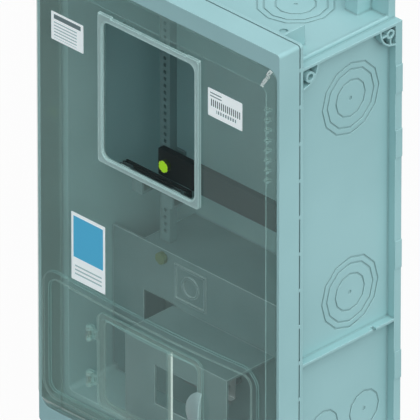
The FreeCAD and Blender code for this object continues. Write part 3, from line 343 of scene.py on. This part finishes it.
refinish("breaker_door", on_pull(), frosted)
# Painted light: the right flank of the door's rib is veiled paler
refinish("breaker_door", on_rib(), rib_flank_light)
refinish("window_bezel", behind_cover(), clear)
# Painted shade: the sides of the crossbar's thumbscrew heads take the darker green
for knob in CROSSBAR_KNOBS:
    refinish(knob, off_front(knob), green_flank_shade)


def grid_mesh(name, points, material, body):
    """Closed sheet from two stacked grids of points (2, rows, columns, 3) in millimetres, front first."""
    rows, columns = points.shape[1:3]
    number = np.arange(rows * columns).reshape(rows, columns)
    a, b = number[:-1, :-1], number[:-1, 1:]
    c, d = number[1:, 1:], number[1:, :-1]
    front = np.stack([a, d, c, b], axis=-1).reshape(-1, 4)
    back = front[:, ::-1] + rows * columns
    rim = np.concatenate([number[0, :], number[1:, -1], number[-1, -2::-1], number[-2:0:-1, 0]])
    after = np.roll(rim, -1)
    side = np.stack([rim, after, after + rows * columns, rim + rows * columns], axis=-1)
    faces = np.concatenate([front, back, side])
    mesh = bpy.data.meshes.new(name)
    mesh.from_pydata((points.reshape(-1, 3) * MM).tolist(), [], faces.tolist())
    mesh.materials.append(material)
    piece = bpy.data.objects.new(name, mesh)
    bpy.context.scene.collection.objects.link(piece)
    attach(piece, body)
    return piece


# Thin films and strips in millimetres: their thickness, and the lift that keeps them off what they lie on
FILM_THICK = 0.25
FILM_LIFT = 0.02
LABEL_RADIUS = 0.8
LABEL_ARC_ROWS = 5
LABEL_COLUMNS = 3
# Painted glow of the label films, which makes them brighter than the lamps alone would
FILM_GLOW = 0.14
FILM_PAPER = "#e2f2f0"


def label(name, left, right, top, bottom, material):
    """Sticker with round corners on the cover: rows at the corners, each as wide as the arc leaves it."""
    height = bottom - top
    arc = np.linspace(0.0, LABEL_RADIUS, LABEL_ARC_ROWS)
    t = np.concatenate([arc, height - arc[::-1]])[:, None]
    u = np.linspace(-1.0, 1.0, LABEL_COLUMNS)[None, :]
    dip = np.clip(LABEL_RADIUS - np.minimum(t, height - t), 0.0, LABEL_RADIUS)
    half = (right - left) / 2 - (LABEL_RADIUS - np.sqrt(LABEL_RADIUS ** 2 - dip ** 2))
    x = FRAME_LEFT_X + (left + right) / 2 + u * half
    z = FRAME_TOP_Z - top - t + 0 * u
    front = np.stack([x, np.full_like(x, COVER_FACE_Y - FILM_THICK), z], axis=-1)
    back = np.stack([x, np.full_like(x, COVER_FACE_Y - FILM_LIFT), z], axis=-1)
    return grid_mesh(name, np.stack([front, back]), material, "lid")


def printed_film(name, centre, size, patches):
    """Matt label film: fine paper tooth, patches that are solid or striped along one axis, and a painted
    glow.
    """
    material, tree = new_material(name)
    spot = add(tree, "ShaderNodeTexCoord").outputs["Object"]
    local = add(tree, "ShaderNodeMapping", Vector=spot,
                Location=tuple(-c / s for c, s in zip(centre, size)),
                Scale=tuple(1.0 / (s * MM) for s in size))
    parts = add(tree, "ShaderNodeSeparateXYZ", Vector=local.outputs["Vector"])
    across, up = parts.outputs["X"], parts.outputs["Z"]
    tooth = add(tree, "ShaderNodeTexNoise", Vector=spot, Scale=1.0 / (TOOTH_MM * MM), Detail=2.0)
    paint = add(tree, "ShaderNodeMix", {"data_type": "RGBA"}, Factor=tooth.outputs["Fac"],
                i6=linear(FILM_PAPER), i7=WHITE)
    for low_x, high_x, low_z, high_z, ink, axis, count, fill in patches:
        wide = add(tree, "ShaderNodeMath", {"operation": "COMPARE"}, i0=across, i1=(low_x + high_x) / 2,
                   i2=(high_x - low_x) / 2)
        tall = add(tree, "ShaderNodeMath", {"operation": "COMPARE"}, i0=up, i1=(low_z + high_z) / 2,
                   i2=(high_z - low_z) / 2)
        patch = add(tree, "ShaderNodeMath", {"operation": "MULTIPLY"}, i0=wide.outputs["Value"],
                    i1=tall.outputs["Value"])
        steps = add(tree, "ShaderNodeMath", {"operation": "MULTIPLY"}, i0=up if axis == "rows" else across,
                    i1=float(count))
        wave = add(tree, "ShaderNodeMath", {"operation": "FRACT"}, i0=steps.outputs["Value"])
        stripe = add(tree, "ShaderNodeMath", {"operation": "LESS_THAN"}, i0=wave.outputs["Value"], i1=fill)
        mask = add(tree, "ShaderNodeMath", {"operation": "MULTIPLY"}, i0=patch.outputs["Value"],
                   i1=stripe.outputs["Value"])
        paint = add(tree, "ShaderNodeMix", {"data_type": "RGBA"}, Factor=mask.outputs["Value"],
                    i6=paint.outputs[2], i7=linear(ink))
    rough = add(tree, "ShaderNodeMapRange", Value=tooth.outputs["Fac"], To_Min=0.45, To_Max=0.65)
    body = add(tree, "ShaderNodeBsdfPrincipled", Base_Color=paint.outputs[2],
               Roughness=rough.outputs["Result"], Emission_Color=paint.outputs[2],
               Emission_Strength=FILM_GLOW)
    close(tree, body.outputs["BSDF"])
    return material


# Fill of a patch without stripes, and the inks
SOLID = 2.0
DARK, BAR, GREY, PALE, BLUE = "#516668", "#39494c", "#77898b", "#a3b7b8", "#3aa6cc"
# Plain label films: left, right, top and bottom in millimetres from the top left corner of the frame,
# then patches: left, right, low and high as shares from the middle, ink, direction, stripes and fill
LABELS = [
    ("label_left", 30.5, 76.0, 68.0, 100.0, [
        (-0.42, 0.42, 0.26, 0.42, DARK, "rows", 1, SOLID),
        (-0.42, 0.30, -0.42, 0.16, PALE, "rows", 9, 0.4)]),
    ("label_right", 252.0, 300.0, 67.0, 98.5, [
        (-0.44, -0.10, 0.20, 0.42, GREY, "rows", 9, 0.4),
        (-0.42, 0.44, -0.12, 0.14, BAR, "bars", 17, 0.5),
        (-0.26, 0.32, -0.32, -0.20, GREY, "bars", 14, 0.6)]),
    ("label_lower", 58.0, 106.0, 288.0, 366.0, [
        (-0.44, 0.44, -0.16, 0.45, BLUE, "rows", 1, SOLID),
        (-0.40, 0.40, -0.42, -0.24, PALE, "rows", 17, 0.4)]),
]
for name, left, right, top, bottom, patches in LABELS:
    middle = (FRAME_LEFT_X + (left + right) / 2, 0.0, FRAME_TOP_Z - (top + bottom) / 2)
    film = printed_film("printed_film_" + name, middle, (right - left, 1.0, bottom - top), patches)
    label(name, left, right, top, bottom, film)

RIB_STRIP_WIDTH = 2.6
RIB_STRIP_ROWS = 9
RIB_STRIP_COLUMNS = 3


def rib_edge(name, material, body):
    """Strip on the right flank of the door's rib, along its rear edge: a plain grid on that flat, which
    carries a painted highlight.
    """
    edge = rib_rear_edge()
    rear = edge[:, 1].max()
    y = np.linspace(rear - RIB_STRIP_WIDTH, rear, RIB_STRIP_COLUMNS)[None, :]
    z = np.linspace(edge[:, 2].max(), edge[:, 2].min(), RIB_STRIP_ROWS)[:, None]
    outer = np.full((RIB_STRIP_ROWS, RIB_STRIP_COLUMNS), edge[:, 0].max() + FILM_THICK)
    front = np.stack([outer, y + 0 * z, z + 0 * y], axis=-1)
    back = np.stack([outer - FILM_THICK + FILM_LIFT, y + 0 * z, z + 0 * y], axis=-1)
    return grid_mesh(name, np.stack([front, back]), material, body)


# Painted highlight: a nearly white strip along the rear edge of the door's rib
rib_edge("door_rib_painted_highlight", rib_highlight, "door")


def seen_directly(tree):
    """1 for rays from the camera, from mirrors and through clear parts, 0 for light on the object."""
    path = add(tree, "ShaderNodeLightPath")
    sees = add(tree, "ShaderNodeMath", {"operation": "MAXIMUM"}, i0=path.outputs["Is Camera Ray"],
               i1=path.outputs["Is Glossy Ray"])
    sees = add(tree, "ShaderNodeMath", {"operation": "MAXIMUM"}, i0=sees.outputs["Value"],
               i1=path.outputs["Is Transmission Ray"])
    return sees.outputs["Value"]


# Floor: pale and matt, white to the camera with a faint shadow; its sizes are in metres
FLOOR_REACH = 30.0
FLOOR_DROP = 0.0005
FLOOR_GREY = (0.25, 0.25, 0.25, 1.0)
FLOOR_WHITE_SHARE = 0.97
floor_z = float(cad_box[0][2]) - FLOOR_DROP
floor_mesh = bpy.data.meshes.new("studio_floor")
floor_mesh.from_pydata([(-FLOOR_REACH, -FLOOR_REACH, floor_z), (FLOOR_REACH, -FLOOR_REACH, floor_z),
                        (FLOOR_REACH, FLOOR_REACH, floor_z), (-FLOOR_REACH, FLOOR_REACH, floor_z)],
                       [], [(0, 1, 2, 3)])
floor = bpy.data.objects.new("studio_floor", floor_mesh)
bpy.context.scene.collection.objects.link(floor)
floor_paint, floor_tree = new_material("studio_white_paint")
part = add(floor_tree, "ShaderNodeMath", {"operation": "MULTIPLY"}, i0=seen_directly(floor_tree),
           i1=FLOOR_WHITE_SHARE)
matt = add(floor_tree, "ShaderNodeBsdfDiffuse", Color=FLOOR_GREY)
glow = add(floor_tree, "ShaderNodeEmission", Color=WHITE, Strength=1.0)
both = add(floor_tree, "ShaderNodeMixShader", Fac=part.outputs["Value"], i1=matt.outputs["BSDF"],
           i2=glow.outputs["Emission"])
close(floor_tree, both.outputs["Shader"])
floor_mesh.materials.append(floor_paint)

# Studio light: an even room, white where it is seen and cool and dimmer where it lights the object
ROOM_COOL = (0.85, 1.0, 1.12, 1.0)
ROOM_LEVEL = 0.4
world = bpy.data.worlds.new("studio_room")
bpy.context.scene.world = world
world.use_nodes = True
room = world.node_tree
room.nodes.clear()
sees = seen_directly(room)
level = add(room, "ShaderNodeMapRange", Value=sees, To_Min=ROOM_LEVEL, To_Max=1.0)
tint = add(room, "ShaderNodeMix", {"data_type": "RGBA"}, Factor=sees, i6=ROOM_COOL, i7=WHITE)
back = add(room, "ShaderNodeBackground", Color=tint.outputs[2], Strength=level.outputs["Result"])
add(room, "ShaderNodeOutputWorld", Surface=back.outputs["Background"])


def far_lamp(name, direction, energy, degrees):
    """Sun lamp that shines from a direction, as wide as its angle."""
    data = bpy.data.lights.new(name, "SUN")
    data.energy = energy
    data.angle = math.radians(degrees)
    lamp = bpy.data.objects.new(name, data)
    lamp.rotation_mode = "QUATERNION"
    lamp.rotation_quaternion = Vector(direction).to_track_quat("Z", "Y")
    bpy.context.scene.collection.objects.link(lamp)
    return lamp


# One broad lamp from above and the right
far_lamp("broad_lamp", direction=(0.62, -0.202, 0.758), energy=2.86, degrees=90)
# Small far lamp on the left: it lights nothing, and only mirrors in the polished corner of the cover
glint = far_lamp("glint_lamp", direction=(-0.286, -0.882, 0.376), energy=3.0, degrees=26)
glint.visible_diffuse = False

# Camera: a very long lens from the front right corner and above, so that parallel edges stay parallel
AZIMUTH = math.radians(45)
ELEVATION = math.radians(30)
LENS = 1700.0
SENSOR_WIDTH = 36.0
FAR_CLIP = 60.0
VIEW_WIDTH = 0.42
MEAN_DEPTH = 0.11
AIM = Vector((-38.7, -60.7, -26.9)) * MM
camera_data = bpy.data.cameras.new("camera")
camera_data.lens = LENS
camera_data.sensor_width = SENSOR_WIDTH
camera_data.clip_end = FAR_CLIP
camera = bpy.data.objects.new("camera", camera_data)
away = Vector((math.sin(AZIMUTH) * math.cos(ELEVATION), -math.cos(AZIMUTH) * math.cos(ELEVATION),
               math.sin(ELEVATION)))
camera.location = AIM + away * (VIEW_WIDTH * LENS / SENSOR_WIDTH + MEAN_DEPTH)
camera.rotation_mode = "QUATERNION"
camera.rotation_quaternion = (-away).to_track_quat("-Z", "Y")
bpy.context.scene.collection.objects.link(camera)
bpy.context.scene.camera = camera
bpy.context.scene.view_settings.view_transform = "Standard"
